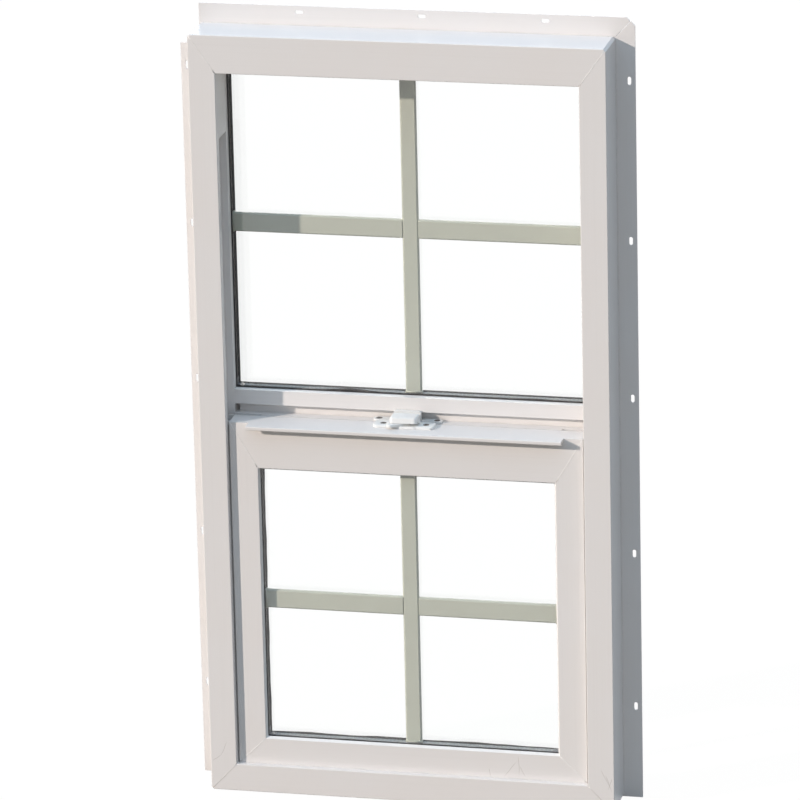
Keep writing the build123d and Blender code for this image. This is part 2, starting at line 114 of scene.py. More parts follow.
# Sections swept round a rectangle. Points are (depth, inward) as shares of the section's size.
SPACER_SECTION = (
    (0.05, 0.0), (0.95, 0.0), (1.0, 0.14), (1.0, 0.78), (0.94, 0.92), (0.80, 0.94), (0.76, 1.0),
    (0.24, 1.0), (0.20, 0.94), (0.06, 0.92), (0.0, 0.78), (0.0, 0.14),
)
LIP_SECTION = (
    (0.0, -0.2), (1.0, -0.2), (1.0, 0.86), (0.94, 0.97),
    (0.84, 1.0), (0.74, 0.96), (0.12, 0.12), (0.06, 0.0),
)

# Butyl squeezed out beside the spacers: length of a step, depth off the pane, gap that keeps it
# clear of the pane's face, share of the spacer's width it starts behind, and extra black width at the
# left, which is painted shade on the spacer's left leg
SEAL_STEP = 0.004
SEAL_DEEP = 0.0005
SEAL_OFF = 0.00002
SEAL_BEHIND = 0.15
SEAL_LEFT_SHADE_REACH = {"inner": 0.0, "outer": 0.001}
SEAL_SEEDS = {"inner": 1, "outer": 5}
# Thicker places along the bottom edge: middle, half length and height in metres
SEAL_BUMPS = {
    ("upper", "inner"): ((-0.078, 0.045, 0.0022), (0.155, 0.02, 0.0009)),
    ("upper", "outer"): ((-0.02, 0.06, 0.0006),),
    ("lower", "inner"): (),
    ("lower", "outer"): ((-0.13, 0.08, 0.0014), (-0.03, 0.07, 0.0016), (0.08, 0.09, 0.0013)),
}

# Spacer slots: each row's distance from the middle, rise over the face, depth below it, and the
# length left free of slots
SLOT_ROW = 0.0016
SLOT_LIFT = 0.00004
SLOT_SINK = 0.0002
SLOT_END_MARGIN = 0.01

# Corner keys: rise over the spacer's faces, how far they reach into it, and their edge rounding
KEY_PROUD = 0.00025
KEY_INSET = 0.001
KEY_ROUND = 0.00008
# Edge rounding of the bars' clips
CLIP_ROUND = 0.0003

# Lock and keeper screws: distance from the middle, and height of the head's seat over the foot
LOCK_SCREW_REACH, LOCK_SCREW_SEAT = 0.0265, 0.0029
KEEPER_SCREW_REACH, KEEPER_SCREW_SEAT = 0.036, 0.0024
# Screw head, from its underside up: share of its radius, and height over its seat
SCREW_RINGS = ((0.52, -0.0022), (0.98, -0.00035), (1.0, -0.0001), (0.93, 0.0001), (0.6, 0.00032))
SCREW_CROWN = 0.0004
SCREW_SIDES = 40
# Cross recess: half width of an arm, depth, height of the cutter and share of its width at the foot
CROSS_ARM = 0.00045
CROSS_DEPTH = 0.0016
CROSS_TOP = 0.001
CROSS_TAPER = 0.55

# Pile: shares of its height where the backing ends, where the tufts start and where the shortest
# of them end, and spacing of the rows of tufts
PILE_BACKING = 0.3
PILE_START = 0.25
PILE_SHORTEST = 0.88
PILE_ROW = 0.0012

# Light and floor
SKY_TINT = (0.62, 0.80, 1.0)
SIDE_TINT = (1.0, 0.89, 0.77)
SUN_TINT = (1.0, 0.88, 0.785)
FILL_TINT = (1.0, 0.97, 0.93)
SUN_TRAVEL = (1.375, 1.0, -0.64)
FILL_TRAVEL = (0.0, -1.0, -0.2)
FILL_SHARE = 0.4
FILL_ANGLE = math.radians(40.0)
FLOOR_COLOUR = (0.27, 0.24, 0.205, 1.0)
FLOOR_GLOW = 1.14
FLOOR_WHITENESS = 0.85
FLOOR_REACH = 30.0
# Share of the way up at which the light from above starts to take over
SKY_FROM = 0.12
WHITE = (1.0, 1.0, 1.0, 1.0)
# Camera: depth of the point it looks at, and width of its sensor in millimetres
TARGET_Y = -0.02
SENSOR_WIDTH = 36.0


def colour(name, text, value):
    """Colour property in linear light."""
    return FloatVectorProperty(
        name=name, description=text, subtype="COLOR", size=3, min=0, max=1, default=value
    )


def length(name, text, value):
    """Length property in metres."""
    return FloatProperty(
        name=name, description=text, unit="LENGTH", subtype="DISTANCE", precision=5, default=value
    )


def angle(name, text, degrees):
    """Angle property, shown in degrees and kept in radians."""
    return FloatProperty(
        name=name, description=text, unit="ROTATION", subtype="ANGLE", default=math.radians(degrees)
    )


def strength(name, text, value):
    """Strength of a light, which has no unit here."""
    return FloatProperty(name=name, description=text, min=0.0, default=value)


class WindowColours(bpy.types.PropertyGroup):
    """Colours of the window's finishes."""

    plastic: colour("Plastic", "White plastic of the frame and sash", (0.82, 0.805, 0.796))
    plastic_warm: colour("Plastic, aged", "Warmer patches in the plastic", (0.815, 0.79, 0.772))
    # Paler than the plastic: scraped weld, and partly a painted highlight where the bead catches the
    # light
    weld: colour("Weld", "Scraped weld at the mitres", (0.87, 0.86, 0.85))
    # Real dust, die lines and scratches, and also the painted shade laid into corners found by
    # ambient occlusion
    grime_and_shade: colour("Grime", "Dust that gathers in corners", (0.36, 0.33, 0.29))
    bar: colour("Bars", "Painted bars between the panes", (0.51, 0.53, 0.45))
    spacer: colour("Spacer", "Aluminium spacer between the panes", (0.31, 0.33, 0.33))
    # Painted shade: near black laid on the spacer's upright faces, where shade falls
    spacer_side_shade: colour("Sealant film", "Film on the spacer's upright faces", (0.026, 0.020, 0.017))
    corner_key: colour("Corner keys", "Plastic keys in the spacer's corners", (0.10, 0.115, 0.14))
    rubber: colour("Rubber", "Glazing gaskets and setting blocks", (0.018, 0.018, 0.02))
    glass: colour("Glass", "Tint of the glass", (0.995, 1.0, 0.998))
    lock: colour("Lock paint", "Powder coat on the lock and keeper", (0.83, 0.84, 0.83))
    steel: colour("Screws", "Plated steel of the screws", (0.30, 0.29, 0.28))
    pile: colour("Pile", "Fibres of the weatherstrips", (0.20, 0.20, 0.21))
    shoe: colour("Shoes", "Plastic of the balance shoes", (0.28, 0.29, 0.30))


class WindowSizes(bpy.types.PropertyGroup):
    """Sizes of the small pieces that this script adds."""

    seam_width: length("Weld seam width", "Width of the weld seam across each mitre", 0.0015)
    seam_rise: length("Weld seam rise", "How far a weld seam stands proud", 0.00015)
    lip_rise: length("Glazing lip rise", "How far the sash's glazing lip covers the pane", 0.0022)
    spacer_width: length("Spacer width", "Spacer width seen through the glass", 0.008)
    slot_pitch: length("Spacer slot pitch", "Distance between the spacer's breathing slots", 0.005)
    slot_length: length("Spacer slot length", "Length of one breathing slot", 0.0026)
    slot_width: length("Spacer slot width", "Width of one breathing slot", 0.0005)
    key_length: length("Corner key length", "How far a corner key shows along the spacer", 0.009)
    clip_length: length("Bar clip length", "Length of the clip on each bar's end", 0.0025)
    clip_margin: length("Bar clip margin", "How far a clip stands out round its bar", 0.0005)
    screw_head: length("Screw head", "Diameter of a lock screw's head", 0.0076)
    screw_cross: length("Screw recess", "Width across a screw's cross recess", 0.0044)
    fibre_step: length("Pile spacing", "Distance between tufts of pile", 0.0011)
    fibre_width: length("Pile tuft width", "Width of one tuft of pile", 0.0009)


class StageSettings(bpy.types.PropertyGroup):
    """Camera, light and floor."""

    azimuth: angle("Azimuth", "Camera's angle round the window", 13.0)
    elevation: angle("Elevation", "Camera's height angle", 18.0)
    roll: angle("Roll", "Camera's turn about its own axis", -1.31)
    distance: length("Distance", "Camera's distance from its target", 7.48)
    focal: FloatProperty(
        name="Focal length", description="Lens, on a 36 mm sensor", unit="CAMERA", default=277.7
    )
    target_x: length("Target X", "Point the camera looks at, along the width", -0.0126)
    target_z: length("Target Z", "Point the camera looks at, in height", -0.4709)
    sun_power: strength("Sun", "Strength of the key light", 2.9)
    sun_angle: angle("Sun size", "Angular size of the key light", 1.5)
    sky_power: strength("Sky", "Strength of the light from above", 1.3)
    side_power: strength("Surround", "Strength of the light from the sides", 0.15)
    floor_gap: length("Floor gap", "Distance from the window's foot to the floor", 0.001)


class Graph:
    """Short way to add and link the nodes of one material."""

    def __init__(self, name):
        self.material = bpy.data.materials.new(name)
        self.material.use_nodes = True
        self.tree = self.material.node_tree
        self.tree.nodes.clear()
        self.out = self.add("ShaderNodeOutputMaterial")
        self.place = self.add("ShaderNodeTexCoord").outputs["Object"]

    def add(self, kind, **settings):
        node = self.tree.nodes.new(kind)
        for key, value in settings.items():
            setattr(node, key, value)
        return node

    def feed(self, socket, value):
        """Links a node's output to a socket, or sets the socket to a number or a colour."""
        if isinstance(value, bpy.types.NodeSocket):
            self.tree.links.new(value, socket)
        elif isinstance(socket.default_value, float):
            socket.default_value = value
        else:
            socket.default_value = (*value, 1.0)[: len(socket.default_value)]

    def math(self, kind, a, b=0.0):
        node = self.add("ShaderNodeMath", operation=kind)
        self.feed(node.inputs[0], a)
        self.feed(node.inputs[1], b)
        return node.outputs[0]

    def noise(self, scale, detail=3.0, rough=0.5, vector=None):
        node = self.add("ShaderNodeTexNoise")
        self.feed(node.inputs["Vector"], vector or self.place)
        node.inputs["Scale"].default_value = scale
        node.inputs["Detail"].default_value = detail
        node.inputs["Roughness"].default_value = rough
        return node.outputs["Fac"]

    def stretch(self, x, y, z):
        """Object coordinates scaled by its own amount on each axis."""
        node = self.add("ShaderNodeMapping")
        self.feed(node.inputs["Vector"], self.place)
        node.inputs["Scale"].default_value = (x, y, z)
        return node.outputs["Vector"]

    def ramp(self, value, low, high):
        """Value spread so that low gives 0 and high gives 1."""
        node = self.add("ShaderNodeMapRange")
        self.feed(node.inputs["Value"], value)
        node.inputs["From Min"].default_value = low
        node.inputs["From Max"].default_value = high
        return node.outputs["Result"]

    def mix(self, amount, a, b):
        node = self.add("ShaderNodeMix", data_type="RGBA")
        self.feed(node.inputs["Factor"], amount)
        self.feed(node.inputs["A"], a)
        self.feed(node.inputs["B"], b)
        return node.outputs["Result"]

    def bump(self, height, distance, strength=1.0, normal=None):
        node = self.add("ShaderNodeBump")
        self.feed(node.inputs["Height"], height)
        node.inputs["Distance"].default_value = distance
        node.inputs["Strength"].default_value = strength
        if normal:
            self.feed(node.inputs["Normal"], normal)
        return node.outputs["Normal"]

    def share(self, value, low, high, most):
        """Share to mix with: 0 where the value is low, rising to most where it is high."""
        return self.math("MULTIPLY", self.ramp(value, low, high), most)

    def height(self):
        """The piece's own height, z."""
        split = self.add("ShaderNodeSeparateXYZ")
        self.feed(split.inputs[0], self.place)
        return split.outputs["Z"]

    def soft_edges(self, radius):
        node = self.add("ShaderNodeBevel", samples=4)
        node.inputs["Radius"].default_value = radius
        return node.outputs["Normal"]

    def corners(self, distance):
        """Ambient occlusion, used to paint shade into corners: 1 in the open and 0 deep in a corner.
        """
        node = self.add("ShaderNodeAmbientOcclusion", samples=4, only_local=False)
        node.inputs["Distance"].default_value = distance
        return node.outputs["AO"]

    def finish(self, base, rough, **sockets):
        """Shader with this colour and roughness. Other sockets go by name, with _ for a space."""
        shader = self.add("ShaderNodeBsdfPrincipled")
        self.feed(shader.inputs["Base Color"], base)
        self.feed(shader.inputs["Roughness"], rough)
        for name, value in sockets.items():
            self.feed(shader.inputs[name.replace("_", " ")], value)
        self.feed(self.out.inputs["Surface"], shader.outputs[0])
        self.shader = shader
        return self.material


def scratch_mask(g, start, end, width):
    """1 on one hairline scratch and 0 off it. Points are (x, z) in metres on the room face."""
    ax, az = start
    bx, bz = end
    span = math.hypot(bx - ax, bz - az)
    ux, uz = (bx - ax) / span, (bz - az) / span
    split = g.add("ShaderNodeSeparateXYZ")
    g.feed(split.inputs[0], g.place)
    dx = g.math("SUBTRACT", split.outputs["X"], ax)
    dz = g.math("SUBTRACT", split.outputs["Z"], az)
    along = g.math("ADD", g.math("MULTIPLY", dx, ux), g.math("MULTIPLY", dz, uz))
    across = g.math("ADD", g.math("MULTIPLY", dx, -uz), g.math("MULTIPLY", dz, ux))
    wander = g.math("MULTIPLY", g.math("SUBTRACT", g.noise(60.0, 1.0), 0.5), 0.003)
    off = g.math("ABSOLUTE", g.math("ADD", across, wander))
    near = g.ramp(off, width, width * 0.3)
    inside = g.math("MULTIPLY", g.ramp(along, 0.0, span * 0.2), g.ramp(along, span, span * 0.7))
    front = g.ramp(split.outputs["Y"], SCRATCH_FADE_TO, SCRATCH_FADE_FROM)
    return g.math("MULTIPLY", g.math("MULTIPLY", near, inside), front)


def plastic_finish(colours, name, grain):
    """Extruded white plastic: die lines, soft mottling, painted shade in corners from ambient
    occlusion broken up like dust, and hairline scratches.
    """
    g = Graph(name)
    patches = g.noise(7.0, 4.0, 0.6)
    base = g.mix(g.ramp(patches, 0.35, 0.7), colours.plastic, colours.plastic_warm)
    lines = g.noise(1.0, 3.0, 0.6, g.stretch(*grain))
    base = g.mix(g.share(lines, 0.5, 0.85, 0.04), base, colours.grime_and_shade)
    # Painted shade: corners found by ambient occlusion are darkened, broken up by noise like dust
    corner_shade = g.ramp(g.corners(0.006), 0.75, 0.25)
    corner_shade_and_dust = g.math("MULTIPLY", corner_shade, g.ramp(g.noise(45.0, 3.0), 0.25, 0.75))
    base = g.mix(g.math("MULTIPLY", corner_shade_and_dust, 0.45), base, colours.grime_and_shade)
    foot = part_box("frame_sill")[0].z
    marks = None
    for (ax, az), (bx, bz) in SCRATCHES:
        start, end = (ax * MM, foot + az * MM), (bx * MM, foot + bz * MM)
        one = scratch_mask(g, start, end, SCRATCH_WIDTH)
        marks = one if marks is None else g.math("MAXIMUM", marks, one)
    base = g.mix(g.math("MULTIPLY", marks, 0.5), base, colours.grime_and_shade)
    height = g.math("ADD", g.noise(520.0, 2.0), g.math("MULTIPLY", lines, 2.0))
    height = g.math("SUBTRACT", height, g.math("MULTIPLY", marks, 3.0))
    rough = g.ramp(g.noise(30.0, 3.0), -0.6, 2.2)
    normal = g.bump(height, 0.00004, 0.35, g.soft_edges(0.0005))
    return g.finish(base, rough, Normal=normal, Specular_IOR_Level=0.3)


def seam_finish(colours):
    """Scraped weld bead, paler than the plastic and so partly a painted highlight, with dirt at the
    frame's lower corners.
    """
    g = Graph("weld_seam")
    base = g.mix(g.ramp(g.noise(220.0, 3.0), 0.3, 0.7), colours.weld, colours.plastic_warm)
    base = g.mix(g.share(g.noise(35.0, 2.0), 0.45, 0.8, 0.15), base, colours.grime_and_shade)
    base = g.mix(g.share(g.height(), SEAM_DIRT_FROM, SEAM_DIRT_TO, 0.26), base, colours.grime_and_shade)
    return g.finish(base, 0.5, Normal=g.bump(g.noise(900.0, 2.0), 0.00005, 0.4))


def lip_finish(colours):
    """Soft white plastic of the lip that the pane is set behind, in the welds' paler colour, which is
    partly a painted highlight.
    """
    g = Graph("glazing_lip_plastic")
    base = g.mix(g.share(g.noise(60.0, 3.0), 0.45, 0.8, 0.12), colours.weld, colours.grime_and_shade)
    normal = g.bump(g.noise(900.0, 2.0), 0.00003, 0.3, g.soft_edges(0.0003))
    return g.finish(base, 0.5, Normal=normal)


def bar_finish(colours):
    """Paint on thin aluminium, with faint rolling lines."""
    g = Graph("bar_paint")
    lines = g.noise(1.0, 3.0, 0.5, g.stretch(30, 400, 30))
    base = g.mix(g.share(lines, 0.3, 0.8, 0.12), colours.bar, colours.grime_and_shade)
    normal = g.bump(g.noise(600.0), 0.00003, 0.3, g.soft_edges(0.0004))
    return g.finish(base, g.ramp(g.noise(80.0), -0.4, 1.8), Normal=normal)


def spacer_finish(colours):
    """Roll-formed aluminium with fine lines; upward faces painted lit and the other faces painted
    near black as shade.
    """
    g = Graph("spacer_aluminium")
    lines = g.noise(1.0, 3.0, 0.6, g.stretch(900, 60, 900))
    split = g.add("ShaderNodeSeparateXYZ")
    g.feed(split.inputs[0], g.add("ShaderNodeNewGeometry").outputs["Normal"])
    # Painted light and shade: faces turned up get the lit aluminium, the others near black
    lit_top_colour = g.mix(g.share(lines, 0.3, 0.7, 0.35), colours.spacer, colours.steel)
    shaded_side_colour = g.mix(g.share(lines, 0.3, 0.7, 0.5), colours.spacer_side_shade, colours.rubber)
    base = g.mix(g.ramp(split.outputs["Z"], 0.2, 0.8), shaded_side_colour, lit_top_colour)
    normal = g.bump(lines, 0.00003, 0.4)
    return g.finish(base, g.ramp(lines, -1.0, 1.6), Specular_IOR_Level=0.25, Normal=normal)


def key_finish(colours):
    """Moulded plastic of the spacer's corner keys."""
    g = Graph("corner_key_plastic")
    base = g.mix(g.ramp(g.noise(300.0, 3.0), 0.3, 0.8), colours.corner_key, colours.rubber)
    return g.finish(base, 0.45, Normal=g.bump(g.noise(1200.0, 2.0), 0.00004, 0.5))


def rubber_finish(colours):
    """Extruded black rubber with a dusty bloom."""
    g = Graph("black_rubber")
    base = g.mix(g.share(g.noise(120.0, 4.0), 0.4, 0.8, 0.12), colours.rubber, colours.grime_and_shade)
    return g.finish(base, 0.6, Normal=g.bump(g.noise(1500.0), 0.00003, 0.5))


def glass_finish(colours):
    """Clear float glass. Light that only casts shadow or bounces goes straight through."""
    g = Graph("clear_glass")
    smears = g.share(g.noise(4.0, 5.0, 0.65), 0.4, 0.9, 0.012)
    g.finish(colours.glass, smears, IOR=1.5, Transmission_Weight=1.0)
    clear = g.add("ShaderNodeBsdfTransparent")
    g.feed(clear.inputs["Color"], colours.glass)
    path = g.add("ShaderNodeLightPath")
    through = g.math("MAXIMUM", path.outputs["Is Shadow Ray"], path.outputs["Is Diffuse Ray"])
    blend = g.add("ShaderNodeMixShader")
    g.feed(blend.inputs[0], through)
    g.feed(blend.inputs[1], g.shader.outputs[0])
    g.feed(blend.inputs[2], clear.outputs[0])
    g.feed(g.out.inputs["Surface"], blend.outputs[0])
    return g.material


def lock_finish(colours):
    """Powder coat over cast zinc, with a slight orange peel and painted shade in its corners from
    ambient occlusion.
    """
    g = Graph("lock_powder_coat")
    # Painted shade: corners found by ambient occlusion are darkened
    base = g.mix(g.share(g.corners(0.004), 0.7, 0.2, 0.35), colours.lock, colours.grime_and_shade)
    normal = g.bump(g.noise(700.0, 2.0), 0.00008, 0.4, g.soft_edges(0.0006))
    return g.finish(base, g.ramp(g.noise(60.0), -0.2, 1.7), Normal=normal)


def steel_finish(colours):
    """Dull plated steel."""
    g = Graph("screw_steel")
    base = g.mix(g.ramp(g.noise(700.0, 4.0), 0.45, 0.75), colours.steel, colours.rubber)
    return g.finish(base, 0.42, Metallic=1.0, Normal=g.bump(g.noise(2500.0), 0.00003, 0.4))


def pile_finish(colours):
    """Woven pile: matt fibres that vary from tuft to tuft."""
    g = Graph("pile_fibre")
    base = g.mix(g.ramp(g.noise(900.0, 2.0), 0.3, 0.7), colours.pile, colours.rubber)
    return g.finish(base, 0.9, Sheen_Weight=0.3)


def shoe_finish(colours):
    """Moulded grey plastic with a fine spark-eroded grain."""
    g = Graph("shoe_plastic")
    base = g.mix(g.share(g.noise(90.0, 4.0), 0.4, 0.8, 0.3), colours.shoe, colours.rubber)
    normal = g.bump(g.noise(1800.0, 2.0), 0.00005, 0.6, g.soft_edges(0.0005))
    return g.finish(base, 0.6, Normal=normal)


def wear(names, material):
    """Puts one finish on carried-over nodes."""
    for name in names:
        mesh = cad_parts[name].data
        mesh.materials.clear()
        mesh.materials.append(material)


def new_piece(name, bm, material, smooth=False):
    """Turns a bmesh into a piece that rides with the window."""
    bmesh.ops.recalc_face_normals(bm, faces=bm.faces[:])
    mesh = bpy.data.meshes.new(name)
    bm.to_mesh(mesh)
    bm.free()
    mesh.materials.append(material)
    if smooth:
        mesh.shade_smooth()
    piece = bpy.data.objects.new(name, mesh)
    bpy.context.scene.collection.objects.link(piece)
    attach(piece, "root")
    return piece


def add_block(bm, low, high):
    """Closed box between two corners."""
    (x0, y0, z0), (x1, y1, z1) = low, high
    v = [bm.verts.new((x, y, z)) for x in (x0, x1) for y in (y0, y1) for z in (z0, z1)]
    sides = ((0, 1, 3, 2), (4, 6, 7, 5), (0, 4, 5, 1), (2, 3, 7, 6), (0, 2, 6, 4), (1, 5, 7, 3))
    for side in sides:
        bm.faces.new([v[i] for i in side])


def walls(bm, rings, loop=False):
    """Faces from each ring of vertices to the next, and from the last to the first in a loop."""
    for a, b in zip(rings, rings[1:] + rings[:1] if loop else rings[1:]):
        for k in range(len(a)):
            n = (k + 1) % len(a)
            bm.faces.new((a[k], a[n], b[n], b[k]))


def closed_tube(bm, rings):
    """Walls with a cap on each end."""
    walls(bm, rings)
    bm.faces.new(rings[0])
    bm.faces.new(rings[-1][::-1])


def add_bead(bm, start, end, outward, width, rise):
    """Low rounded bead along a line, with tapered ends."""
    along = (end - start).normalized()
    side = along.cross(outward).normalized()
    rings = []
    steps, arc = 10, 6
    for i in range(steps + 1):
        t = i / steps
        swell = min(1.0, 6 * t, 6 * (1 - t)) * 0.8 + 0.2
        middle = start.lerp(end, t)
        points = [(k, math.sin(math.pi * k / arc) * swell) for k in range(arc + 1)]
        points += [(arc - 1, -0.5), (1, -0.5)]
        ring = []
        for k, up in points:
            across = math.cos(math.pi * k / arc) * width / 2
            ring.append(bm.verts.new(middle - side * across + outward * up * rise))
        rings.append(ring)
    closed_tube(bm, rings)


def mitre_lines(outer, inner):
    """The four lines from an outer rectangle's corners to an inner one's. Points are (x, z)."""
    corners = ((0, 0), (1, 0), (0, 1), (1, 1))
    return [[(box[i][0], box[k][1]) for box in (outer, inner)] for i, k in corners]


def seam_piece(name, outer, inner, y, start, sizes, material):
    """Weld beads on the four mitres of the room face, from start past each outer corner."""
    bm = bmesh.new()
    outward = Vector((0, -1, 0))
    for (ax, az), (bx, bz) in mitre_lines(outer, inner):
        a, b = Vector((ax, y, az)), Vector((bx, y, bz))
        along = (b - a).normalized()
        first, last = a + along * start, b - along * SEAM_INSET
        add_bead(bm, first, last, outward, sizes.seam_width, sizes.seam_rise)
    new_piece(name, bm, material, smooth=True)


def mitred_ring(low, high, width, section):
    """Section swept round a rectangle and mitred at its corners."""
    bm = bmesh.new()
    deep = high.y - low.y
    rings = []
    for sx, sz in ((-1, -1), (1, -1), (1, 1), (-1, 1)):
        ring = []
        for depth, inward in section:
            x = high.x - inward * width if sx > 0 else low.x + inward * width
            z = high.z - inward * width if sz > 0 else low.z + inward * width
            ring.append(bm.verts.new((x, low.y + depth * deep, z)))
        rings.append(ring)
    walls(bm, rings, loop=True)
    return bm


def squeeze_out(t, bumps, seed):
    """How far the butyl stands out at t metres along a pane's edge."""
    ripple = 0.4 + 0.2 * math.sin(t * 61 + seed) + 0.15 * math.sin(t * 149 + 2.3 * seed)
    return ripple * MM + sum(h * max(0.0, 1 - ((t - c) / w) ** 2) ** 2 for c, w, h in bumps)


def butyl_seal(low, high, width, reach, bumps, seed):
    """Uneven black butyl squeezed out past the spacer along the four edges of one pane's face."""
    bm = bmesh.new()
    ix, iz = (high.x - low.x) / 2 - width, (high.z - low.z) / 2 - width
    cx, cz = (low.x + high.x) / 2, (low.z + high.z) / 2
    back = SEAL_BEHIND * width
    for along_x, side, half in ((True, -1, ix), (True, 1, ix), (False, -1, iz), (False, 1, iz)):
        count = int(2 * half / SEAL_STEP)
        rings = []
        for i in range(count + 1):
            t = -half + 2 * half * i / count
            out = squeeze_out(t, bumps if along_x and side < 0 else (), seed + side)
            # Extra black width on the left edge: painted shade on the spacer's left leg
            if not along_x and side < 0:
                out += reach
            ring = []
            for y, v in ((low.y, -back), (low.y, out), (high.y, out * 0.4), (high.y, -back)):
                if along_x:
                    ring.append(bm.verts.new((cx + t, y, cz + side * (iz - v))))
                else:
                    ring.append(bm.verts.new((cx + side * (ix - v), y, cz + t)))
            rings.append(ring)
        closed_tube(bm, rings)
    return bm


def spacer_slots(low, high, sizes):
    """Two rows of breathing slots on the faces that look into the air space, drawn as thin black
    blocks: painted shade standing in for the holes.
    """
    bm = bmesh.new()
    w = sizes.spacer_width
    ix0, ix1, iz0, iz1 = low.x + w, high.x - w, low.z + w, high.z - w
    middle = (low.y + high.y) / 2
    half, across = sizes.slot_length / 2, sizes.slot_width / 2
    for row in (-SLOT_ROW, SLOT_ROW):
        y0, y1 = middle + row - across, middle + row + across
        for a0, a1, upright in ((ix0, ix1, False), (iz0, iz1, True)):
            count = int((a1 - a0 - SLOT_END_MARGIN) / sizes.slot_pitch)
            first = (a0 + a1) / 2 - (count - 1) * sizes.slot_pitch / 2
            for i in range(count):
                m = first + i * sizes.slot_pitch
                if upright:
                    for x, s in ((ix0, 1), (ix1, -1)):
                        x0, x1 = sorted((x - s * SLOT_SINK, x + s * SLOT_LIFT))
                        add_block(bm, (x0, y0, m - half), (x1, y1, m + half))
                else:
                    for z, s in ((iz0, 1), (iz1, -1)):
                        z0, z1 = sorted((z - s * SLOT_SINK, z + s * SLOT_LIFT))
                        add_block(bm, (m - half, y0, z0), (m + half, y1, z1))
    return bm


def corner_keys(low, high, sizes):
    """L-shaped plastic keys in the spacer's corners, proud of its inner faces."""
    bm = bmesh.new()
    w = sizes.spacer_width
    y0, y1 = low.y + KEY_INSET, high.y - KEY_INSET
    for x, sx in ((low.x + w, 1), (high.x - w, -1)):
        for z, sz in ((low.z + w, 1), (high.z - w, -1)):
            for reach_x, reach_z in ((sizes.key_length, KEY_PROUD), (KEY_PROUD, sizes.key_length)):
                x0, x1 = sorted((x - sx * KEY_INSET, x + sx * reach_x))
                z0, z1 = sorted((z - sz * KEY_INSET, z + sz * reach_z))
                add_block(bm, (x0, y0, z0), (x1, y1, z1))
    bmesh.ops.bevel(bm, geom=bm.edges[:], offset=KEY_ROUND, segments=1, affect="EDGES")
    return bm


def add_clip(bm, low, high, axis, bulge):
    """Clip round a bar's end: the box of that end, grown except along the bar's own axis."""
    grown_low = [c - (0 if i == axis else bulge) for i, c in enumerate(low)]
    grown_high = [c + (0 if i == axis else bulge) for i, c in enumerate(high)]
    add_block(bm, grown_low, grown_high)


def bar_clips(unit, sizes):
    """Plastic clips where a unit's bars meet its spacer."""
    bm = bmesh.new()
    n, m = sizes.clip_length, sizes.clip_margin
    low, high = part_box(f"{unit}_grille_upright")
    add_clip(bm, (low.x, low.y, low.z), (high.x, high.y, low.z + n), 2, m)
    add_clip(bm, (low.x, low.y, high.z - n), (high.x, high.y, high.z), 2, m)
    low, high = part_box(f"{unit}_grille_crossbar")
    add_clip(bm, (low.x, low.y, low.z), (low.x + n, high.y, high.z), 0, m)
    add_clip(bm, (high.x - n, low.y, low.z), (high.x, high.y, high.z), 0, m)
    bmesh.ops.bevel(bm, geom=bm.edges[:], offset=CLIP_ROUND, segments=2, affect="EDGES")
    return bm


def carve(piece, cutter):
    """Cuts one mesh out of another and drops the cutter."""
    cut = piece.modifiers.new("cut", "BOOLEAN")
    cut.operation = "DIFFERENCE"
    cut.object = cutter
    cut.solver = "EXACT"
    bpy.context.view_layer.update()
    graph = bpy.context.evaluated_depsgraph_get()
    shape = bpy.data.meshes.new_from_object(piece.evaluated_get(graph))
    piece.modifiers.clear()
    piece.data = shape
    bpy.data.objects.remove(cutter)


def screw(name, x, y, top, sizes, material, turn):
    """Countersunk screw head with a cross recess, seated flush in its hole."""
    bm = bmesh.new()
    r = sizes.screw_head / 2
    turns = [2 * math.pi * i / SCREW_SIDES for i in range(SCREW_SIDES)]
    rings = []
    for share, z in SCREW_RINGS:
        q = share * r
        rings.append([bm.verts.new((q * math.cos(a), q * math.sin(a), z)) for a in turns])
    walls(bm, rings)
    bm.faces.new(rings[0][::-1])
    tip = bm.verts.new((0, 0, SCREW_CROWN))
    for i in range(SCREW_SIDES):
        bm.faces.new((rings[-1][i], rings[-1][(i + 1) % SCREW_SIDES], tip))
    piece = new_piece(name, bm, material)
    cutter = bmesh.new()
    half, arm = sizes.screw_cross / 2, CROSS_ARM
    outline = [(half, -arm), (half, arm), (arm, arm), (arm, half), (-arm, half), (-arm, arm),
               (-half, arm), (-half, -arm), (-arm, -arm), (-arm, -half), (arm, -half), (arm, -arm)]
    t = CROSS_TAPER
    low = [cutter.verts.new((px * t, py * t, -CROSS_DEPTH)) for px, py in outline]
    high = [cutter.verts.new((px, py, CROSS_TOP)) for px, py in outline]
    walls(cutter, [low, high])
    cutter.faces.new(low[::-1])
    cutter.faces.new(high)
    mesh = bpy.data.meshes.new("cross")
    cutter.to_mesh(mesh)
    cutter.free()
    tool = bpy.data.objects.new("cross", mesh)
    bpy.context.scene.collection.objects.link(tool)
    carve(piece, tool)
    spot = Matrix.Translation((x, y, top)) @ Matrix.Rotation(turn, 4, "Z")
    piece.data.transform(spot)


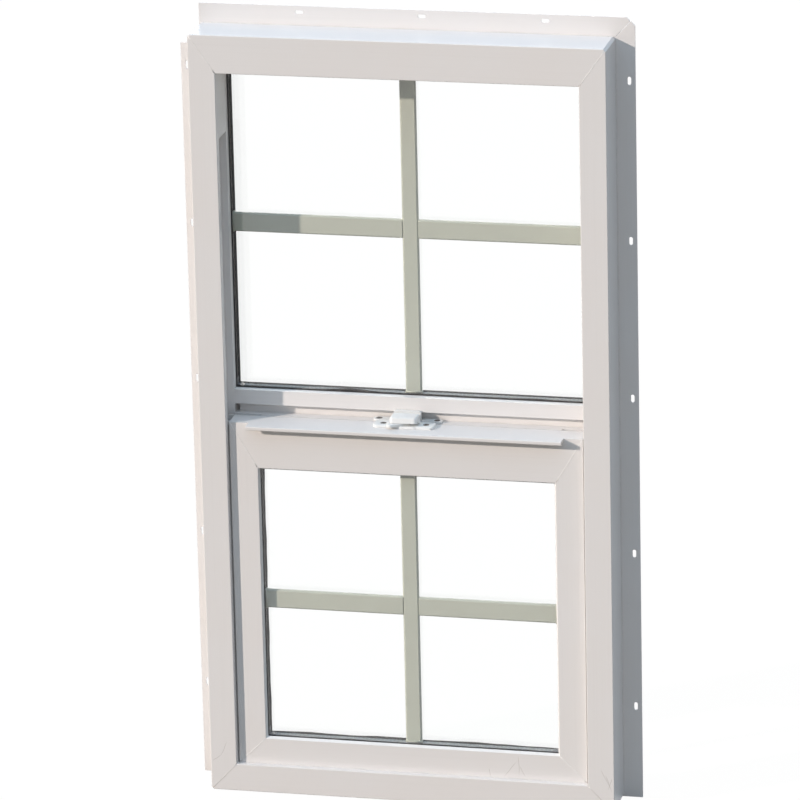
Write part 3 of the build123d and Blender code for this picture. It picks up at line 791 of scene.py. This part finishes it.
def pile_piece(node, up, sizes, material, seed):
    """Backing strip and tufts of fibre in the node's box. They stand along y, towards up."""
    chance = random.Random(seed)
    low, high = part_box(node)
    axis = 1
    long_axis = max((0, 1, 2), key=lambda i: high[i] - low[i])
    wide_axis = 3 - axis - long_axis
    bm = bmesh.new()
    foot = low[axis] if up > 0 else high[axis]
    tall = high[axis] - low[axis]
    base_low, base_high = list(low), list(high)
    if up > 0:
        base_high[axis] = foot + tall * PILE_BACKING
    else:
        base_low[axis] = foot - tall * PILE_BACKING
    add_block(bm, base_low, base_high)
    count = int((high[long_axis] - low[long_axis]) / sizes.fibre_step)
    wide = high[wide_axis] - low[wide_axis]
    rows = max(2, int(wide / PILE_ROW))
    lean = sizes.fibre_width * 0.25
    for i in range(count):
        for r in range(rows):
            centre = [0.0, 0.0, 0.0]
            place = i + 0.3 + 0.4 * chance.random()
            centre[long_axis] = low[long_axis] + place * sizes.fibre_step
            centre[wide_axis] = low[wide_axis] + (r + 0.5) * wide / rows
            centre[axis] = foot + up * tall * PILE_START
            tip = list(centre)
            reach = PILE_SHORTEST + (1 - PILE_SHORTEST) * chance.random()
            tip[axis] = foot + up * tall * reach
            tip[long_axis] += lean * chance.uniform(-1, 1)
            tip[long_axis] = min(high[long_axis], max(low[long_axis], tip[long_axis]))
            corners = []
            for k in range(3):
                a = 2 * math.pi * (k + chance.random() * 0.3) / 3
                p = list(centre)
                p[long_axis] += math.cos(a) * sizes.fibre_width / 2
                p[wide_axis] += math.sin(a) * sizes.fibre_width / 2
                for j in (long_axis, wide_axis):
                    p[j] = min(high[j], max(low[j], p[j]))
                corners.append(bm.verts.new(p))
            top = bm.verts.new(tip)
            bm.faces.new(corners)
            for k in range(3):
                bm.faces.new((corners[k], corners[(k + 1) % 3], top))
    name = node.replace("weatherstrip", "tufts")
    piece = new_piece(name, bm, material)
    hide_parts(node)


class WINDOW_OT_plastic(bpy.types.Operator):
    """Finish the frame, the sash, the meeting rail and the beads in white plastic"""

    bl_idname = "window.plastic"
    bl_label = "White plastic"

    def execute(self, context):
        colours = context.scene.window_colours
        wear(LEVEL_PLASTIC_NODES, plastic_finish(colours, "white_plastic_level", LEVEL_GRAIN))
        wear(UPRIGHT_PLASTIC_NODES, plastic_finish(colours, "white_plastic_upright", UPRIGHT_GRAIN))
        return {"FINISHED"}


class WINDOW_OT_weld_seams(bpy.types.Operator):
    """Add the weld bead across each mitre of the frame and the sash"""

    bl_idname = "window.weld_seams"
    bl_label = "Weld seams"

    def execute(self, context):
        sizes = context.scene.window_sizes
        material = seam_finish(context.scene.window_colours)
        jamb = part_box("frame_jamb_left")
        head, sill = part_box("frame_head"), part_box("frame_sill")
        filler_left, filler_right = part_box("track_filler_left"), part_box("track_filler_right")
        outer = ((sill[0].x, sill[0].z), (sill[1].x, jamb[1].z))
        inner = ((filler_left[1].x, sill[1].z), (filler_right[0].x, head[0].z))
        seam_piece("frame_weld_seams", outer, inner, sill[0].y, TRIMMED_CORNER, sizes, material)
        stile_left, stile_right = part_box("sash_stile_left"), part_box("sash_stile_right")
        top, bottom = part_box("sash_top_rail"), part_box("sash_bottom_rail")
        outer = ((bottom[0].x, bottom[0].z), (bottom[1].x, top[1].z))
        inner = ((stile_left[1].x, bottom[1].z), (stile_right[0].x, top[0].z))
        seam_piece("sash_weld_seams", outer, inner, bottom[0].y, SEAM_INSET, sizes, material)
        return {"FINISHED"}


class WINDOW_OT_glazing(bpy.types.Operator):
    """Finish the panes, bars, gaskets and setting blocks, and add the lip before the sash's pane"""

    bl_idname = "window.glazing"
    bl_label = "Glass, bars and gaskets"

    def execute(self, context):
        colours = context.scene.window_colours
        wear(GLASS_NODES, glass_finish(colours))
        wear(BAR_NODES, bar_finish(colours))
        wear(RUBBER_NODES, rubber_finish(colours))
        left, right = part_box("sash_stile_left"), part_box("sash_stile_right")
        top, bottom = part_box("sash_top_rail"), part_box("sash_bottom_rail")
        low = Vector((left[1].x, bottom[0].y, bottom[1].z))
        high = Vector((right[0].x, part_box("lower_glazing_gaskets")[0].y, top[0].z))
        lip = mitred_ring(low, high, context.scene.window_sizes.lip_rise, LIP_SECTION)
        new_piece("sash_glazing_lip", lip, lip_finish(colours))
        return {"FINISHED"}


class WINDOW_OT_spacers(bpy.types.Operator):
    """Build the spacers with their slots and corner keys, the butyl seals and the bars' clips"""

    bl_idname = "window.spacers"
    bl_label = "Spacers"

    def execute(self, context):
        colours, sizes = context.scene.window_colours, context.scene.window_sizes
        metal, dark = spacer_finish(colours), rubber_finish(colours)
        keys, paint = key_finish(colours), bar_finish(colours)
        for unit in ("upper", "lower"):
            low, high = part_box(f"{unit}_spacer")
            section = mitred_ring(low, high, sizes.spacer_width, SPACER_SECTION)
            ring = new_piece(f"{unit}_spacer_section", section, metal)
            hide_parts(f"{unit}_spacer")
            for pane, face, inward in (("inner", low.y, 1), ("outer", high.y, -1)):
                start = Vector((low.x, face + inward * SEAL_OFF, low.z))
                end = Vector((high.x, face + inward * SEAL_DEEP, high.z))
                reach, bumps, seed = SEAL_LEFT_SHADE_REACH[pane], SEAL_BUMPS[unit, pane], SEAL_SEEDS[pane]
                seal = butyl_seal(start, end, sizes.spacer_width, reach, bumps, seed)
                new_piece(f"{unit}_{pane}_butyl", seal, dark, smooth=True)
            # Slots in the black rubber finish: painted shade where the holes are
            new_piece(f"{unit}_spacer_slots", spacer_slots(low, high, sizes), dark)
            new_piece(f"{unit}_corner_keys", corner_keys(low, high, sizes), keys)
            clips = bar_clips(unit, sizes)
            new_piece(f"{unit}_bar_clips", clips, paint, smooth=True)
        return {"FINISHED"}


class WINDOW_OT_lock(bpy.types.Operator):
    """Finish the lock, the lever and the keeper, and drive in their screws"""

    bl_idname = "window.lock"
    bl_label = "Sash lock"

    def execute(self, context):
        colours, sizes = context.scene.window_colours, context.scene.window_sizes
        wear(LOCK_NODES, lock_finish(colours))
        steel = steel_finish(colours)
        for node, name, reach, seat, turn in (
            ("lock_base", "lock_screw", LOCK_SCREW_REACH, LOCK_SCREW_SEAT, 0.4),
            ("lock_keeper", "keeper_screw", KEEPER_SCREW_REACH, KEEPER_SCREW_SEAT, 0.9),
        ):
            low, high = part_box(node)
            middle = (low + high) / 2
            for i, side in enumerate((-1, 1)):
                x, top = middle.x + side * reach, low.z + seat
                screw(f"{name}_{i + 1}", x, middle.y, top, sizes, steel, turn + i)
        return {"FINISHED"}


class WINDOW_OT_weatherstrips(bpy.types.Operator):
    """Build the tufted pile weatherstrips"""

    bl_idname = "window.weatherstrips"
    bl_label = "Pile weatherstrips"

    def execute(self, context):
        sizes = context.scene.window_sizes
        material = pile_finish(context.scene.window_colours)
        for node, up, seed in PILE_STRIPS:
            pile_piece(node, up, sizes, material, seed)
        return {"FINISHED"}


class WINDOW_OT_shoes(bpy.types.Operator):
    """Finish the balance shoes in grey plastic"""

    bl_idname = "window.shoes"
    bl_label = "Balance shoes"

    def execute(self, context):
        wear(SHOE_NODES, shoe_finish(context.scene.window_colours))
        return {"FINISHED"}


def white_for_view(tree, path):
    """1 for rays that see the background, 0 for rays that light the window."""
    seen = path.outputs["Is Camera Ray"]
    for name in ("Is Glossy Ray", "Is Transmission Ray"):
        node = tree.nodes.new("ShaderNodeMath")
        node.operation = "MAXIMUM"
        tree.links.new(seen, node.inputs[0])
        tree.links.new(path.outputs[name], node.inputs[1])
        seen = node.outputs[0]
    return seen


def build_world(stage):
    """Soft light from all round, stronger from above, on a background that reads white."""
    world = bpy.data.worlds.new("studio")
    bpy.context.scene.world = world
    world.use_nodes = True
    tree = world.node_tree
    tree.nodes.clear()
    place = tree.nodes.new("ShaderNodeTexCoord")
    split = tree.nodes.new("ShaderNodeSeparateXYZ")
    tree.links.new(place.outputs["Generated"], split.inputs[0])
    height = tree.nodes.new("ShaderNodeMapRange")
    tree.links.new(split.outputs["Z"], height.inputs["Value"])
    height.inputs["From Min"].default_value = SKY_FROM
    height.inputs["From Max"].default_value = 1.0
    hue = tree.nodes.new("ShaderNodeMix")
    hue.data_type = "RGBA"
    tree.links.new(height.outputs["Result"], hue.inputs["Factor"])
    hue.inputs["A"].default_value = [part * stage.side_power for part in SIDE_TINT] + [1.0]
    hue.inputs["B"].default_value = [part * stage.sky_power for part in SKY_TINT] + [1.0]
    lit = tree.nodes.new("ShaderNodeBackground")
    tree.links.new(hue.outputs["Result"], lit.inputs["Color"])
    plain = tree.nodes.new("ShaderNodeBackground")
    plain.inputs["Color"].default_value = WHITE
    path = tree.nodes.new("ShaderNodeLightPath")
    mix = tree.nodes.new("ShaderNodeMixShader")
    tree.links.new(white_for_view(tree, path), mix.inputs[0])
    tree.links.new(lit.outputs[0], mix.inputs[1])
    tree.links.new(plain.outputs[0], mix.inputs[2])
    out = tree.nodes.new("ShaderNodeOutputWorld")
    tree.links.new(mix.outputs[0], out.inputs["Surface"])


def build_floor(stage):
    """Pale floor that reads white and keeps a faint shadow."""
    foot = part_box("frame_sill")[0].z - stage.floor_gap
    bm = bmesh.new()
    r = FLOOR_REACH
    bm.faces.new([bm.verts.new((x, y, foot)) for x, y in ((-r, -r), (r, -r), (r, r), (-r, r))])
    mesh = bpy.data.meshes.new("floor")
    bm.to_mesh(mesh)
    bm.free()
    g = Graph("pale_floor")
    diffuse = g.add("ShaderNodeBsdfDiffuse")
    diffuse.inputs["Color"].default_value = FLOOR_COLOUR
    glow = g.add("ShaderNodeEmission")
    glow.inputs["Color"].default_value = WHITE
    glow.inputs["Strength"].default_value = FLOOR_GLOW
    path = g.add("ShaderNodeLightPath")
    seen = white_for_view(g.tree, path)
    blend = g.add("ShaderNodeMixShader")
    g.feed(blend.inputs[0], g.math("MULTIPLY", seen, FLOOR_WHITENESS))
    g.feed(blend.inputs[1], diffuse.outputs[0])
    g.feed(blend.inputs[2], glow.outputs[0])
    g.feed(g.out.inputs["Surface"], blend.outputs[0])
    mesh.materials.append(g.material)
    floor = bpy.data.objects.new("floor", mesh)
    bpy.context.scene.collection.objects.link(floor)


def build_lamps(stage):
    """One sun from the upper left of the room side, and a weak fill from outside."""
    for name, travel, power, tint, size in (
        ("sun", SUN_TRAVEL, stage.sun_power, SUN_TINT, stage.sun_angle),
        ("outside_fill", FILL_TRAVEL, stage.sun_power * FILL_SHARE, FILL_TINT, FILL_ANGLE),
    ):
        lamp = bpy.data.lights.new(name, "SUN")
        lamp.energy = power
        lamp.color = tint
        lamp.angle = size
        thing = bpy.data.objects.new(name, lamp)
        thing.rotation_mode = "QUATERNION"
        thing.rotation_quaternion = Vector(travel).to_track_quat("-Z", "Y")
        bpy.context.scene.collection.objects.link(thing)


def build_camera(stage):
    """Camera above and to the right of the window, on a long lens."""
    a, e = stage.azimuth, stage.elevation
    back = Vector((math.sin(a) * math.cos(e), -math.cos(a) * math.cos(e), math.sin(e)))
    target = Vector((stage.target_x, TARGET_Y, stage.target_z))
    camera = bpy.data.cameras.new("camera")
    camera.sensor_width = SENSOR_WIDTH
    camera.lens = stage.focal
    camera.clip_end = 100.0
    holder = bpy.data.objects.new("camera", camera)
    holder.location = target + back * stage.distance
    holder.rotation_mode = "QUATERNION"
    level = (-back).to_track_quat("-Z", "Y")
    holder.rotation_quaternion = level @ Quaternion((0, 0, 1), stage.roll)
    bpy.context.scene.collection.objects.link(holder)
    bpy.context.scene.camera = holder


class WINDOW_OT_stage(bpy.types.Operator):
    """Set up the floor, the light and the camera"""

    bl_idname = "window.stage"
    bl_label = "Stage"

    def execute(self, context):
        stage = context.scene.window_stage
        context.scene.view_settings.view_transform = "Standard"
        build_world(stage)
        build_floor(stage)
        build_lamps(stage)
        build_camera(stage)
        return {"FINISHED"}


class WINDOW_PT_sidebar(bpy.types.Panel):
    """Settings and operators of the window"""

    bl_idname = "WINDOW_PT_sidebar"
    bl_label = "Sliding window"
    bl_space_type = "VIEW_3D"
    bl_region_type = "UI"
    bl_category = "Window"

    def draw(self, context):
        for group in ("window_colours", "window_sizes", "window_stage"):
            settings = getattr(context.scene, group)
            box = self.layout.box()
            for name in settings.__annotations__:
                box.prop(settings, name)
        for operator in OPERATORS:
            self.layout.operator(operator.bl_idname)


GROUPS = (WindowColours, WindowSizes, StageSettings)
OPERATORS = (
    WINDOW_OT_plastic,
    WINDOW_OT_weld_seams,
    WINDOW_OT_glazing,
    WINDOW_OT_spacers,
    WINDOW_OT_lock,
    WINDOW_OT_weatherstrips,
    WINDOW_OT_shoes,
    WINDOW_OT_stage,
)


def register():
    for cls in (*GROUPS, *OPERATORS, WINDOW_PT_sidebar):
        bpy.utils.register_class(cls)
    bpy.types.Scene.window_colours = PointerProperty(type=WindowColours)
    bpy.types.Scene.window_sizes = PointerProperty(type=WindowSizes)
    bpy.types.Scene.window_stage = PointerProperty(type=StageSettings)


def unregister():
    del bpy.types.Scene.window_stage
    del bpy.types.Scene.window_sizes
    del bpy.types.Scene.window_colours
    for cls in reversed((*GROUPS, *OPERATORS, WINDOW_PT_sidebar)):
        bpy.utils.unregister_class(cls)


def main():
    register()
    bpy.ops.window.plastic()
    bpy.ops.window.weld_seams()
    bpy.ops.window.glazing()
    bpy.ops.window.spacers()
    bpy.ops.window.lock()
    bpy.ops.window.weatherstrips()
    bpy.ops.window.shoes()
    bpy.ops.window.stage()


if __name__ == "__main__":
    main()
